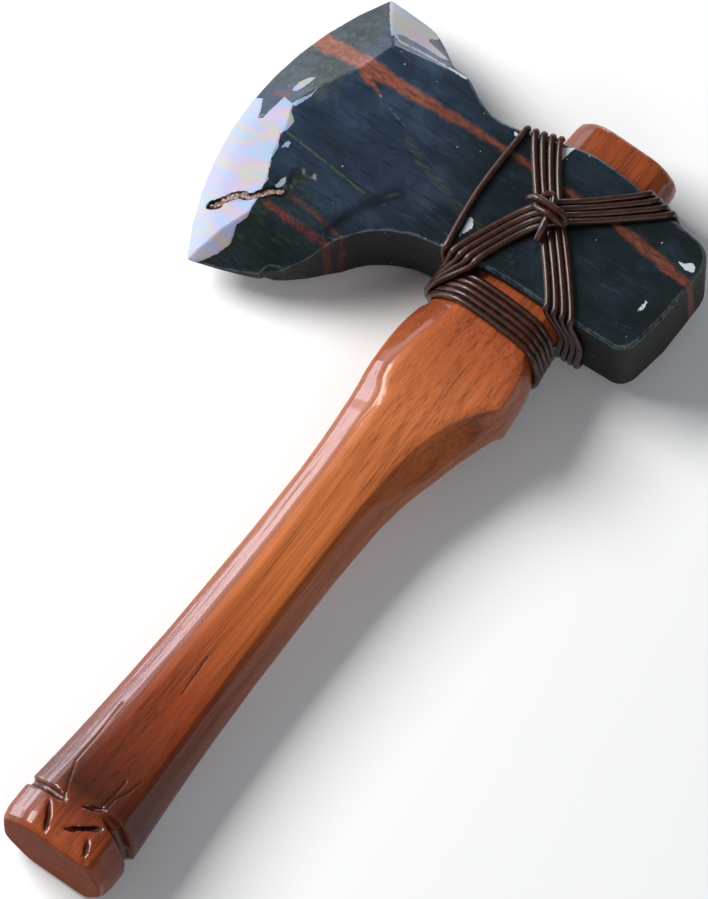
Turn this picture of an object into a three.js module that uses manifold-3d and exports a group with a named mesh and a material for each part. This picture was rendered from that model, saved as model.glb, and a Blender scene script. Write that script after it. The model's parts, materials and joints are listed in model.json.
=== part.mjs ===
// A hafted stone axe: a ground stone head on a carved wooden handle, lashed with leather cord.
import * as THREE from 'three';
import { mergeVertices } from 'three/addons/utils/BufferGeometryUtils.js';
import Module from 'manifold-3d';

// ---- Driving dimensions, in millimetres -------------------------------------------------------
// While the pieces are made, X runs from the cutting edge (-) to the poll (+), Y runs up the handle
// and Z stands out of the front cheek. The zero point is in the middle of the eye.
const HEAD_THICK = 36;
const CHEEK = HEAD_THICK / 2;
const WORN_EDGE = 1;
const BUTT = -316;
const HANDLE_TOP = 39;

const EDGE_CENTRE = new THREE.Vector2(4.7, -28);
const EDGE_RADIUS = 126;
const HEEL_ANGLE = THREE.MathUtils.degToRad(149.4);
const TOE_ANGLE = THREE.MathUtils.degToRad(211.6);
const EDGE_HALF = 0.6;
const CHEEK_TAPER = 1 / 30;
const BEVEL_SIDES = 108;
const OUTLINE_STEPS = 5;

const FIT_GAP = 0.3;
const CORD = 2.5;
const CORD_SIDES = 8;
const PITCH = 2.7;
const STANDOFF = FIT_GAP + CORD / 2;
const ON_CHEEK = CHEEK + STANDOFF;
const NECK_STANDOFF = STANDOFF + 0.25;
const NECK_TURNS = 5;
const LASHING_TURNS = 4;

const STONE = { color: 0x2b3334, roughness: 0.22, metalness: 0 };
const WOOD = { color: 0x9a5230, roughness: 0.3, metalness: 0 };
const LEATHER = { color: 0x3d211a, roughness: 0.45, metalness: 0 };

// ---- Solids -----------------------------------------------------------------------------------
const wasm = await Module();
wasm.setup();

function solidOf(geometry) {
  const bare = geometry.clone();
  bare.deleteAttribute('normal');
  bare.deleteAttribute('uv');
  const merged = mergeVertices(bare, 1e-4);
  const triangles = [];
  for (let i = 0; i < merged.index.count; i += 3) {
    const [a, b, c] = [0, 1, 2].map((k) => merged.index.getX(i + k));
    if (a !== b && b !== c && c !== a) triangles.push(a, b, c);
  }
  return new wasm.Manifold(new wasm.Mesh({
    numProp: 3,
    vertProperties: new Float32Array(merged.attributes.position.array),
    triVerts: new Uint32Array(triangles),
  }));
}

function geometryOf(solid) {
  const mesh = solid.getMesh();
  const geometry = new THREE.BufferGeometry();
  geometry.setAttribute('position', new THREE.BufferAttribute(mesh.vertProperties, 3));
  geometry.setIndex(new THREE.BufferAttribute(mesh.triVerts, 1));
  geometry.computeVertexNormals();
  return geometry;
}

// Everything on the outer side of a plane through three points, as a large block to cut away.
function beyondPlane(a, b, c) {
  const plane = new THREE.Plane().setFromCoplanarPoints(a, b, c);
  const outward = plane.normal.clone();
  const size = 400;
  const block = new THREE.BoxGeometry(size, size, size);
  const turn = new THREE.Quaternion().setFromUnitVectors(new THREE.Vector3(0, 0, 1), outward);
  const middle = b.clone().addScaledVector(outward, size / 2);
  block.applyMatrix4(new THREE.Matrix4().compose(middle, turn, new THREE.Vector3(1, 1, 1)));
  return solidOf(block);
}

// A route whose rings sit exactly on its points, so that they can be close at a bend and far
// apart on a straight.
class CordRoute extends THREE.CatmullRomCurve3 {
  getUtoTmapping(u) {
    return u;
  }
}

function tube(points, diameter, sides = CORD_SIDES) {
  const section = new THREE.Shape();
  for (let i = 0; i < sides; i++) {
    const angle = (i / sides) * Math.PI * 2;
    const [x, y] = [Math.cos(angle) * diameter / 2, Math.sin(angle) * diameter / 2];
    if (i === 0) section.moveTo(x, y);
    else section.lineTo(x, y);
  }
  const extrudePath = new CordRoute(points);
  return new THREE.ExtrudeGeometry(section, { extrudePath, steps: points.length - 1 });
}

// A cut made with a round tool: it enters and leaves the surface where its end points are higher.
function gouge(diameter, ...points) {
  return solidOf(tube(points.map((p) => new THREE.Vector3(...p)), diameter, 6));
}

// ---- The stone head ---------------------------------------------------------------------------
const vec2 = (list) => list.map(([x, y]) => new THREE.Vector2(x, y));

function headOutline() {
  const outline = new THREE.Shape();
  outline.absarc(EDGE_CENTRE.x, EDGE_CENTRE.y, EDGE_RADIUS, HEEL_ANGLE, TOE_ANGLE, false);
  // The beard, then the hollow under it, then the underside as far as the poll.
  outline.splineThru(vec2([
    [-89, -89.4], [-74.2, -81.9], [-65.2, -72], [-59.3, -61.6], [-50.9, -50.4],
    [-39.1, -42.8], [-25, -39.2], [0, -36.2], [28, -35.5], [50.6, -34.4],
  ]));
  outline.quadraticCurveTo(56.2, -33.2, 57, -26);
  outline.lineTo(58.8, -13);
  outline.lineTo(58.8, 10);
  outline.quadraticCurveTo(58.4, 18, 51, 19.4);
  // The top: the low swell over the eye, the dip, and the rise to the heel.
  outline.splineThru(vec2([
    [38.8, 20.8], [21.5, 23.5], [4, 24.7], [-7.3, 23.2], [-24.6, 17.6], [-39.2, 14.9],
    [-48, 17.2], [-57.5, 21.9], [-65, 23.2], [-73, 28.8], [-81.5, 33.6], [-92, 35.2],
  ]));
  outline.closePath();
  return outline;
}

// How far the ground bevel reaches in from the cutting edge, by height above the edge's centre.
const BEVEL_HEIGHTS = [-120, -66, -60, -53, -37, -27, -19, -3, 2, 8, 20, 32, 48, 66, 120];
const BEVEL_WIDTHS = [12, 12, 14, 17, 22.5, 23.5, 21, 19.5, 16, 18, 21.5, 25, 23, 20, 20];
const bevelWidth = new THREE.LinearInterpolant(BEVEL_HEIGHTS, BEVEL_WIDTHS, 1, new Float32Array(1));

// A disc about the centre of the cutting edge's arc: thick in the middle, slightly tapered, and
// ground to the edge by a bevel whose inner border wanders.
function bevelledDisc() {
  const ridgeRadius = EDGE_RADIUS - 20;
  const apex = CHEEK + 60 * CHEEK_TAPER;
  const coneAt = (radius) => apex - radius * CHEEK_TAPER;
  const half = [
    [0, apex], [ridgeRadius, coneAt(ridgeRadius)], [EDGE_RADIUS, EDGE_HALF], [EDGE_RADIUS + 6, EDGE_HALF],
  ];
  const profile = [...half.map(([r, z]) => [r, -z]), ...half.reverse()];
  const disc = new THREE.LatheGeometry(vec2(profile), BEVEL_SIDES);
  disc.rotateX(Math.PI / 2);
  const place = disc.attributes.position;
  for (let i = 0; i < place.count; i++) {
    const [x, y, z] = [place.getX(i), place.getY(i), place.getZ(i)];
    const radius = Math.hypot(x, y);
    if (Math.abs(radius - ridgeRadius) > 0.01) continue;
    const moved = EDGE_RADIUS - bevelWidth.evaluate(y)[0];
    place.setXYZ(i, x * moved / radius, y * moved / radius, Math.sign(z) * coneAt(moved));
  }
  disc.translate(EDGE_CENTRE.x, EDGE_CENTRE.y, 0);
  return solidOf(disc);
}

// The two flats knocked off each face: one at the heel, one along the beard. The beard's flat stays
// on the blade's side of the eye.
function cornerFlats(face) {
  const bladeSide = new THREE.BoxGeometry(200, 400, 200);
  bladeSide.translate(-130, 0, 0);
  const at = (x, y, z) => new THREE.Vector3(x, y, z * face);
  const order = (points) => (face > 0 ? points : points.reverse());
  const heel = order([at(-104, 34.8, 2), at(-87.3, 20.3, 14), at(-62.4, 21.6, 16.5)]);
  const beard = order([at(-57.7, -59.8, 16.4), at(-74, -82, 3.2), at(-101, -93, 1.2)]);
  return [beyondPlane(...heel), beyondPlane(...beard.reverse()).intersect(solidOf(bladeSide))];
}

// The long shallow flake that came off the front face above the hollow of the beard.
function flakeScar() {
  const floor = 16.3;
  const slope = CHEEK - floor;
  const scar = new THREE.Shape();
  scar.moveTo(-24, -50);
  scar.lineTo(-24, -33);
  scar.splineThru(vec2([[-40, -30.6], [-50, -31.6], [-56, -39.5], [-62, -52], [-65, -68]]));
  scar.lineTo(-60, -80);
  scar.lineTo(-24, -80);
  const cut = new THREE.ExtrudeGeometry(scar, {
    depth: 8, bevelThickness: slope, bevelSize: slope * 1.6, bevelOffset: -slope * 0.8,
    bevelSegments: 1, curveSegments: 5,
  });
  cut.translate(0, 0, CHEEK);
  return solidOf(cut);
}

function stoneHead(outline) {
  const block = new THREE.ExtrudeGeometry(outline, {
    depth: HEAD_THICK - 2 * WORN_EDGE, bevelThickness: WORN_EDGE, bevelSize: WORN_EDGE,
    bevelOffset: -WORN_EDGE, bevelSegments: 1, curveSegments: OUTLINE_STEPS,
  });
  block.translate(0, 0, WORN_EDGE - CHEEK);
  let head = solidOf(block).intersect(bevelledDisc());
  for (const face of [1, -1]) {
    for (const flat of cornerFlats(face)) head = head.subtract(flat);
  }
  head = head.subtract(flakeScar());
  const crack = [
    [-111, -76, 6], [-106.6, -71.4, 6.6], [-102, -68.2, 9.8], [-95.5, -64.6, 14.9], [-87, -57.8, 19.3],
  ];
  head = head.subtract(gouge(3.2, ...crack));
  return head.subtract(solidOf(handleLoft(EYE_LEVELS, FIT_GAP)));
}

// ---- The handle -------------------------------------------------------------------------------
// Its section is an eight-sided bar with softened corners: level, left side, right side, half
// thickness, the left and right borders of the flat on the front and back, and how far each corner
// is softened. The neck is waisted where the cord is wound round it.
const SECTIONS = [
  [BUTT, -22.8, 22.6, 16.8, -12.4, 16, 3],
  [-308, -24, 23.8, 17.8, -13.2, 17, 3],
  [-298, -23.6, 23.4, 17.2, -12.8, 16.6, 3],
  [-284, -22.5, 22.4, 15.9, -12, 15.5, 3],
  [-262, -21.4, 20.9, 14.3, -10.5, 14, 3],
  [-230, -19.9, 19.4, 13, -8.7, 12.6, 3],
  [-190, -18.8, 18.6, 12.6, -7.5, 11.7, 3],
  [-150, -18.1, 18.7, 12.5, -7.2, 11.7, 3],
  [-129, -18.4, 20.2, 12.8, -7.6, 12, 3],
  [-110, -19.7, 24.7, 13.4, -8.5, 14, 3],
  [-98, -20.8, 27.6, 14.1, -9.6, 17.4, 3],
  [-92, -21.3, 29.3, 14.7, -12.8, 20.4, 3],
  [-84, -21.7, 31.8, 15.4, -13, 25.8, 3],
  [-78.5, -21.9, 33.3, 15.7, -12.4, 31.4, 3],
  [-72, -22, 32.9, 15.4, -11.5, 31, 3],
  [-64, -21.6, 32.3, 14.8, -9.8, 29.8, 3.4],
  [-59.5, -21.1, 31.2, 14.2, -9, 28.1, 4],
  [-56, -19.5, 29.4, 13.6, -9, 26, 5],
  [-50, -18.6, 28.6, 13.2, -9, 24.4, 5.4],
  [-36, -18.3, 27.6, 12.4, -9, 22.2, 5.4],
  [0, -17.7, 28.2, 12, -9, 21, 5.4],
  [31, -16.6, 29.2, 12, -9, 21.4, 5],
  [HANDLE_TOP, -16, 28.4, 11.6, -8.6, 20.8, 5],
];
const SIDE_SHARE = 0.33;
// Below the knuckle the left bevels are shaved at one slope all the way down to the butt.
const LEFT_SLOPE = 0.77;
const LEFT_SLOPE_TOP = -64;
const levels = (from, to, count) => (
  Array.from({ length: count }, (_, i) => from + (to - from) * i / (count - 1)));
const LINED_LEVELS = SECTIONS.map(([y]) => y);
const NECK_LEVELS = levels(-52, 34, 8);
const EYE_LEVELS = [...NECK_LEVELS, 45];
const sectionAt = new THREE.CubicInterpolant(LINED_LEVELS, SECTIONS.flatMap(([, ...rest]) => rest), 6,
  new Float32Array(6));

// The corners of the section at one level, moved outwards by a clearance.
function sectionCorners(y, [left, right, thick, flatLeft, flatRight], clearance) {
  const side = thick * SIDE_SHARE;
  const leftSide = y <= LEFT_SLOPE_TOP ? thick - LEFT_SLOPE * (flatLeft - left) : side;
  const corners = vec2([
    [left, -leftSide], [left, leftSide], [flatLeft, thick], [flatRight, thick],
    [right, side], [right, -side], [flatRight, -thick], [flatLeft, -thick],
  ]);
  return corners.map((corner, i) => {
    const before = corners[(i + 7) % 8];
    const after = corners[(i + 1) % 8];
    const n1 = outwardOf(before, corner);
    const n2 = outwardOf(corner, after);
    return corner.clone().addScaledVector(n1.clone().add(n2), clearance / (1 + n1.dot(n2)));
  });
}

function outwardOf(from, to) {
  const along = to.clone().sub(from).normalize();
  return new THREE.Vector2(-along.y, along.x);
}

// One ring of the handle: every corner is softened by a short curve of three points.
function ringAt(y, clearance = 0, shrink = 1) {
  const held = THREE.MathUtils.clamp(y, LINED_LEVELS[0], LINED_LEVELS.at(-1));
  const section = [...sectionAt.evaluate(held)];
  const corners = sectionCorners(held, section, clearance);
  const soft = section.at(-1);
  const ring = [];
  corners.forEach((corner, i) => {
    const before = corners[(i + 7) % 8];
    const after = corners[(i + 1) % 8];
    const reach = (other) => Math.min(soft, corner.distanceTo(other) * 0.42);
    const start = corner.clone().lerp(before, reach(before) / corner.distanceTo(before));
    const end = corner.clone().lerp(after, reach(after) / corner.distanceTo(after));
    const curve = new THREE.QuadraticBezierCurve(start, corner, end);
    for (const t of [0, 0.5, 1]) ring.push(curve.getPoint(t));
  });
  const middle = (corners[0].x + corners[4].x) / 2;
  return ring.map((p) => new THREE.Vector3(middle + (p.x - middle) * shrink, y, p.y * shrink));
}

// Rings joined into one closed body, with a fan over each end.
function loft(rings) {
  const around = rings[0].length;
  const points = rings.flat();
  const triangles = [];
  for (let r = 0; r + 1 < rings.length; r++) {
    for (let i = 0; i < around; i++) {
      const next = (i + 1) % around;
      const [a, b, c, d] = [r * around + i, r * around + next, (r + 1) * around + next, (r + 1) * around + i];
      triangles.push(a, b, c, a, c, d);
    }
  }
  for (const [ring, base, flip] of [[rings[0], 0, true], [rings.at(-1), points.length - around, false]]) {
    const hub = ring.reduce((sum, p) => sum.add(p), new THREE.Vector3()).divideScalar(around);
    points.push(hub);
    for (let i = 0; i < around; i++) {
      const next = (i + 1) % around;
      const [a, b] = flip ? [base + next, base + i] : [base + i, base + next];
      triangles.push(a, b, points.length - 1);
    }
  }
  const geometry = new THREE.BufferGeometry().setFromPoints(points);
  geometry.setIndex(triangles);
  return geometry;
}

function handleLoft(at, clearance) {
  return loft(at.map((y) => ringAt(y, clearance)));
}

function handle() {
  const rings = [
    ringAt(BUTT, 0, 0.93), ringAt(BUTT + 0.6, 0, 0.975), ringAt(BUTT + 2, 0, 1),
    ...levels(-310, -262, 6).map((y) => ringAt(y)),
    ...levels(-242, -138, 5).map((y) => ringAt(y)),
    ...levels(-124, -68, 12).map((y) => ringAt(y)),
    ...[-64, -59.5, -56].map((y) => ringAt(y)),
    ...NECK_LEVELS.map((y) => ringAt(y)),
    ringAt(HANDLE_TOP - 2.2, 0, 0.985), ringAt(HANDLE_TOP - 0.7, 0, 0.93),
    ringAt(HANDLE_TOP, 0, 0.82),
  ];
  let bar = solidOf(loft(rings));
  const cuts = [
    // The notch pinched into each side above the butt.
    gouge(4.8, [-3, -299.6, 20], [-9, -299, 18.2], [-15.5, -298.4, 16.2], [-23.4, -297.8, 9.6],
      [-23.2, -297.8, -5], [-19, -298, -14.5], [-12, -298, -19.5]),
    gouge(6.4, [6, -294.8, 21], [11, -295.6, 19], [17, -297, 16.2], [22.6, -299, 6],
      [23.4, -299.4, -5], [18.5, -299, -14.5], [12, -299, -20]),
    // Four knife cuts on the front of the butt.
    gouge(2.5, [-2.4, -298.6, 19], [4.5, -295.4, 16.3], [11.4, -292.2, 18.6]),
    gouge(2.8, [-1, -309.6, 19.4], [4, -306, 16.6], [9, -302.2, 16.4], [13.4, -299.2, 19.4]),
    gouge(2.1, [-11.7, -300.6, 18.4], [-6.6, -309, 16.7], [-2.8, -317.4, 18.6]),
    gouge(2, [8.6, -303.6, 19.2], [11.8, -310, 17], [14.6, -316.6, 18.6]),
  ];
  for (const cut of cuts) bar = bar.subtract(cut);
  return bar;
}

// ---- The cords --------------------------------------------------------------------------------
// The height of the head's border at x, on its top (side 1) or its underside (side -1).
function borderAt(border, x, side) {
  let found = -side * 1000;
  border.forEach((a, i) => {
    const b = border[(i + 1) % border.length];
    if ((a.x - x) * (b.x - x) > 0 || a.x === b.x) return;
    const y = a.y + (b.y - a.y) * (x - a.x) / (b.x - a.x);
    found = side > 0 ? Math.max(found, y) : Math.min(found, y);
  });
  return found;
}

// Three points of the bend from a cheek round its worn border; face is 1 in front, -1 behind.
function bend(border, x, side, face) {
  const radius = STANDOFF + WORN_EDGE + 0.15;
  const y = borderAt(border, x, side) - side * WORN_EDGE;
  const z = face * (CHEEK - WORN_EDGE);
  return [0, 0.5, 1].map((part) => {
    const angle = part * Math.PI / 2;
    return new THREE.Vector3(x, y + side * radius * Math.sin(angle), z + face * radius * Math.cos(angle));
  });
}

function besideBorder(border, x, side, z) {
  return new THREE.Vector3(x, borderAt(border, x, side) + side * (STANDOFF + 0.35), z);
}

// Where each turn of the lashing passes over the border of the head: at the front border, at some
// depths beside the handle, and at the back border, each by the first strand's place and the step
// from strand to strand. At the lower left the strands hang one below the other by the drop.
const TOP_LEFT = {
  front: [-23.8, 3.2], beside: [[8.5, -26.9, 2.75], [-8.5, -26.9, 2.75]], back: [-26.9, 2.75],
};
const TOP_RIGHT = {
  front: [25.2, 3.85], beside: [[8.5, 31.4, 2.75], [-8.5, 31.4, 2.75]], back: [31.6, 2.75],
};
const LOW_RIGHT = {
  front: [21.2, 3.6], beside: [[8.5, 27.8, 2.72], [0, 29.7, 2.72], [-8.5, 28.2, 2.72]], back: [27.4, 2.75],
};
const LOW_LEFT = {
  front: [-20.3, 3.05], beside: [[8.5, -21.7, 0], [0, -23.2, 0], [-8.5, -21.7, 0]], back: [-20.3, 3.05],
  drop: 2.7,
};
const strandX = ([first, step], i) => first + step * i;

const CROSSING = new THREE.Vector2(1.1, -6.2);
const FALLING = new THREE.Vector2(0.74, -0.67);
const RISING = new THREE.Vector2(0.7, 0.714);
const UNDER = ON_CHEEK;
const OVER = ON_CHEEK + CORD + 0.25;

// A point of strand i on the front cheek: so far along a band from the crossing, at height z.
function onBand(direction, along, i, z) {
  const across = new THREE.Vector2(-direction.y, direction.x).multiplyScalar(direction.y > 0 ? -1 : 1);
  const p = CROSSING.clone().addScaledVector(direction, along).addScaledVector(across, (i - 1.5) * PITCH);
  return new THREE.Vector3(p.x, p.y, z);
}

function passBorder(border, way, i, side, toBack) {
  const points = [
    ...bend(border, strandX(way.front, i), side, 1),
    ...way.beside.map(([z, ...place]) => {
      const point = besideBorder(border, strandX(place, i), side, z);
      point.y -= (i + 1) * (way.drop ?? 0);
      return point;
    }),
    ...bend(border, strandX(way.back, i), side, -1).reverse(),
  ];
  return toBack ? points : points.reverse();
}

// One cord: it starts behind, comes over the top, runs straight down the side of the front cheek and
// round under it, and then makes its four crossed turns.
function crossLashing(border) {
  const route = [new THREE.Vector3(strandX(TOP_LEFT.back, -1), 4, -ON_CHEEK)];
  route.push(...passBorder(border, TOP_LEFT, -1, 1, false));
  for (const [x, y] of [[-27.2, 2], [-27.1, -11], [-25.9, -23], [-24.2, -33]]) {
    route.push(new THREE.Vector3(x, y, ON_CHEEK));
  }
  route.push(...passBorder(border, LOW_LEFT, -1, -1, true));
  for (let i = 0; i < LASHING_TURNS; i++) {
    route.push(...passBorder(border, TOP_LEFT, i, 1, false));
    route.push(onBand(FALLING, -6.5, i, UNDER), onBand(FALLING, 6.5, i, UNDER));
    route.push(...passBorder(border, LOW_RIGHT, i, -1, true));
    route.push(...passBorder(border, TOP_RIGHT, i, 1, false));
    route.push(onBand(RISING, 10.5, i, UNDER), onBand(RISING, 5.2, i, OVER));
    route.push(onBand(RISING, -5.2, i, OVER), onBand(RISING, -10.5, i, UNDER));
    route.push(...passBorder(border, LOW_LEFT, i, -1, true));
  }
  route.push(new THREE.Vector3(strandX(LOW_LEFT.back, LASHING_TURNS - 1), -8, -ON_CHEEK));
  return tube(route, CORD);
}

// The neck wrap starts behind the neck, is wound down round it, and ends behind it.
function neckWrap() {
  const around = 24;
  const startY = -38.9;
  const firstPoint = 19;
  const route = [];
  for (let k = 0; k <= NECK_TURNS * around; k++) {
    const level = startY - PITCH * k / around;
    const spot = ringAt(level, NECK_STANDOFF)[(firstPoint + k) % around];
    const sag = spot.x < 5 ? 2.2 * ((5 - spot.x) / 26) ** 1.7 : 4.4 * ((spot.x - 5) / 28) ** 2;
    route.push(ringAt(level - sag, NECK_STANDOFF)[(firstPoint + k) % around]);
  }
  return tube(route, CORD);
}

// The tie's tail runs up under its own two turns, bends over at the top, and the turns lie over
// the crossing and dip beside it.
function crossingKnot() {
  const low = OVER + CORD + 0.45;
  const high = low + CORD + 0.25;
  const points = [
    [3.2, -18.2, low - 3.8], [2.7, -14.8, low - 1.4], [2.1, -11.4, low], [1.4, -8, low], [0.7, -4.6, low],
    [-0.2, -1.9, low + 0.1], [-1.7, -0.5, low + 0.2], [-3.4, -1.2, low + 0.2], [-4.6, -3.4, low + 0.1],
    [-5.2, -6.1, low], [-4.5, -8.2, low + 0.5], [-2, -8.9, low + 1.9], [1.4, -8.6, high], [4.6, -8.7, high - 0.8],
    [7.2, -9, low + 0.6], [8.8, -7.8, low - 0.2], [8.2, -6, low + 0.5], [6, -5.5, high - 0.7],
    [3, -5.6, high], [-0.4, -5.6, high + 0.1], [-3.4, -5.6, high], [-5.9, -5.8, high - 0.3],
    [-7.9, -6.4, low + 0.8], [-8.7, -7, low - 1],
  ];
  return tube(points.map((p) => new THREE.Vector3(...p)), CORD);
}

// ---- The object -------------------------------------------------------------------------------
function piece(name, geometry, look) {
  const mesh = new THREE.Mesh(geometry, new THREE.MeshStandardMaterial(look));
  mesh.name = name;
  return mesh;
}

const outline = headOutline();
const border = outline.getPoints(OUTLINE_STEPS);
const axe = new THREE.Group();
axe.add(piece('stone_head', geometryOf(stoneHead(outline)), STONE));
axe.add(piece('handle', geometryOf(handle()), WOOD));
axe.add(piece('cross_lashing', crossLashing(border), LEATHER));
axe.add(piece('neck_wrap', neckWrap(), LEATHER));
axe.add(piece('crossing_knot', crossingKnot(), LEATHER));

// ---- Laid down --------------------------------------------------------------------------------
// The axe lies on its back: on the lashing beside the handle, on the back of the blade and on the
// back of the butt. Its lowest points there give the plane that becomes the ground.
const spots = (mesh, keep) => {
  const place = mesh.geometry.attributes.position;
  const corner = (_, i) => new THREE.Vector3().fromBufferAttribute(place, i);
  return Array.from({ length: place.count }, corner).filter(keep);
};

function layDown(group, feet) {
  const ground = new THREE.Plane(new THREE.Vector3(0, 0, 1), 0);
  for (let round = 0; round < 8; round++) {
    const touching = feet.map((foot) => foot.reduce((low, p) => (
      ground.distanceToPoint(p) < ground.distanceToPoint(low) ? p : low)));
    ground.setFromCoplanarPoints(...touching);
    if (ground.normal.z < 0) ground.negate();
  }
  group.quaternion.setFromUnitVectors(ground.normal, new THREE.Vector3(0, 0, 1));
  const box = new THREE.Box3().setFromObject(group, true);
  const middle = box.getCenter(new THREE.Vector3());
  group.position.set(-middle.x, -middle.y, -box.min.z);
}

const [head, bar, lashing] = axe.children;
layDown(axe, [
  spots(lashing, (p) => p.x < 0),
  spots(head, (p) => p.x < -60),
  spots(bar, (p) => p.y < -250),
]);

const scene = new THREE.Group();
scene.add(axe);

export default scene;
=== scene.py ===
# %% [markdown]
# # A hafted stone axe, dressed in Blender
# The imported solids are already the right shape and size. This lesson gives them the surface of the
# real thing: a ground and polished stone head, a varnished hardwood handle and dark leather cord.
# Each solid is copied, its copy is turned into a fine even skin, the small relief is pressed into
# that skin, and a finish made only of nodes is laid over it. Lengths are in millimetres until the
# last moment, because that is how a maker thinks of an axe.

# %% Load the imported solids
import json
import math
import bpy
import numpy as np
from mathutils import Matrix, Vector, noise


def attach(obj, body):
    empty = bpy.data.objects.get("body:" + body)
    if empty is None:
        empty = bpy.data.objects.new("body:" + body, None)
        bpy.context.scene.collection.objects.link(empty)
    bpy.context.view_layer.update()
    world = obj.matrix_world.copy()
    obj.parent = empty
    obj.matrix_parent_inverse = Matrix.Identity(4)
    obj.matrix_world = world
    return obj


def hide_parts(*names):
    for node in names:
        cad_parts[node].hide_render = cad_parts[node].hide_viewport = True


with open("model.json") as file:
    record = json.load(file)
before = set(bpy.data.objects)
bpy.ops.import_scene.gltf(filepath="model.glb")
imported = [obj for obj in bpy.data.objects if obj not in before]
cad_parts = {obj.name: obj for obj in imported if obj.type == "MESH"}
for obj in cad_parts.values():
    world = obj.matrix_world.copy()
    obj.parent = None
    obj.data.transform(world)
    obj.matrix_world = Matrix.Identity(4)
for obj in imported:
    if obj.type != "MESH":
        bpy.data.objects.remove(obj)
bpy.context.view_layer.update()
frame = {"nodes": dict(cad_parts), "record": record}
scene = bpy.context.scene
MM = 0.001
print("solids:", ", ".join(sorted(frame["nodes"])))

# %% [markdown]
# ## The axe's own axes
# The axe lies on its back, so it is tilted by a few degrees. Its features are easier to place along
# its own axes: X from the cutting edge to the poll, Y up the handle, Z out of the front cheek, with
# zero in the middle of the eye. Two flat faces named in the record, the butt and the poll, carry
# those directions, so nothing has to be guessed.

# %% Own axes from the two flat faces
mounts = {mount["name"]: mount for mount in frame["record"]["mounts"]}
UP_HANDLE = -Vector(mounts["butt_end"]["axis"]).normalized()
OUT = Vector(mounts["poll_face"]["axis"]).cross(UP_HANDLE).normalized()
ACROSS = UP_HANDLE.cross(OUT)
BUTT_LEVEL = -316
TURN = Matrix((ACROSS, UP_HANDLE, OUT)).transposed()
EYE = Vector(mounts["butt_end"]["pos_m"]) - UP_HANDLE * BUTT_LEVEL * MM


def in_room(x, y, z=0.0):
    return EYE + TURN @ Vector((x, y, z)) * MM


print("tilt of the cheek: %.1f degrees" % math.degrees(OUT.angle(Vector((0, 0, 1)))))

# %% [markdown]
# ## The camera
# A long lens from far away keeps the edges nearly parallel, as in a catalogue picture. The camera
# looks down on the front cheek from the poll's side, so that the underside and the poll show a
# little, and the handle runs down to the left.

# %% Camera
AZIMUTH, ELEVATION = math.radians(36.4), math.radians(68)
AIM = in_room(-7, -118.8)
DISTANCE = 5.574
right = TURN @ Vector((math.cos(AZIMUTH), math.sin(AZIMUTH), 0))
back = TURN @ Vector((
    math.sin(AZIMUTH) * math.cos(ELEVATION), -math.cos(AZIMUTH) * math.cos(ELEVATION),
    math.sin(ELEVATION)))
lens = bpy.data.cameras.new("long_lens")
lens.lens = 600
camera = bpy.data.objects.new("camera", lens)
camera.matrix_world = Matrix((right, back.cross(right), back)).transposed().to_4x4()
camera.location = AIM + back * DISTANCE
scene.collection.objects.link(camera)
scene.camera = camera
print("camera at", [round(v, 3) for v in camera.location])

# %% [markdown]
# ## Floor and light
# Polished things are drawn by what they reflect. One large softbox lights the front without being
# mirrored in it. A low softbox on the left is mirrored in the lower bevel of the blade, and a thin
# strip lamp nearer to the floor is mirrored all along the left bevel of the handle. One beyond the
# head is mirrored in the heel, and a weak one on the right gives the scooped side its faint streak.
# The floor is a plain pale sheet.

# %% Floor
bpy.ops.mesh.primitive_plane_add(size=9, location=(0, 0, 0))
floor = bpy.context.object
floor.name = "floor"
paper = bpy.data.materials.new("pale_paper")
paper.use_nodes = True
paper.node_tree.nodes["Principled BSDF"].inputs["Base Color"].default_value = (0.83, 0.84, 0.85, 1)
paper.node_tree.nodes["Principled BSDF"].inputs["Roughness"].default_value = 0.9
paper.node_tree.nodes["Principled BSDF"].inputs["Specular IOR Level"].default_value = 0.1
floor.data.materials.append(paper)

# %% Softboxes
def softbox(name, centre, size, brightness, tint=(1, 1, 1)):
    """A rectangular lamp that faces the middle of the axe; brightness is how white it looks."""
    lamp = bpy.data.lights.new(name, "AREA")
    lamp.shape = "RECTANGLE"
    lamp.size, lamp.size_y = size
    lamp.energy = brightness * size[0] * size[1] * math.pi
    lamp.color = tint
    held = bpy.data.objects.new(name, lamp)
    held.location = centre
    held.rotation_euler = (Vector((0, 0, 0.03)) - held.location).to_track_quat("-Z", "Y").to_euler()
    scene.collection.objects.link(held)
    print("%-12s %4.1f W" % (name, lamp.energy))


softbox("key", (-1.2, -0.1, 1.1), (0.85, 0.85), 18, (1, 0.985, 0.96))
softbox("fill", (1.0, -0.9, 1.1), (0.9, 0.9), 2.2)
softbox("left_wall", (-1.6, 0.35, 0.24), (1.5, 0.5), 3.2, (0.86, 0.88, 1.0))
softbox("left_strip", (-0.36, -0.045, 0.03), (0.34, 0.05), 9, (0.86, 0.86, 1.0))
softbox("far_wall", (-0.62, 1.75, 0.22), (0.55, 0.36), 8.0, (0.9, 0.9, 1.0))
softbox("right_wall", (1.6, 0.5, 0.22), (0.9, 0.36), 1.8, (1, 0.85, 0.83))

world = bpy.data.worlds.new("studio")
world.use_nodes = True
world.node_tree.nodes["Background"].inputs["Color"].default_value = (0.9, 0.95, 1.0, 1)
world.node_tree.nodes["Background"].inputs["Strength"].default_value = 0.2
scene.world = world
scene.view_settings.view_transform = "Standard"

# %% [markdown]
# ## Tools for the bench
# Each solid is made of long thin triangles, good for measuring and bad for fine relief. A copy of
# it is welded, wrapped in an even net of small squares by a voxel remesh, and smoothed a little, so
# that every ridge gets the small radius that grinding or whittling leaves. Then small amounts are
# pressed in or raised along the surface, point by point.

# %% Copy, skin and press
def alone(piece):
    bpy.ops.object.select_all(action="DESELECT")
    piece.select_set(True)
    bpy.context.view_layer.objects.active = piece


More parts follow.
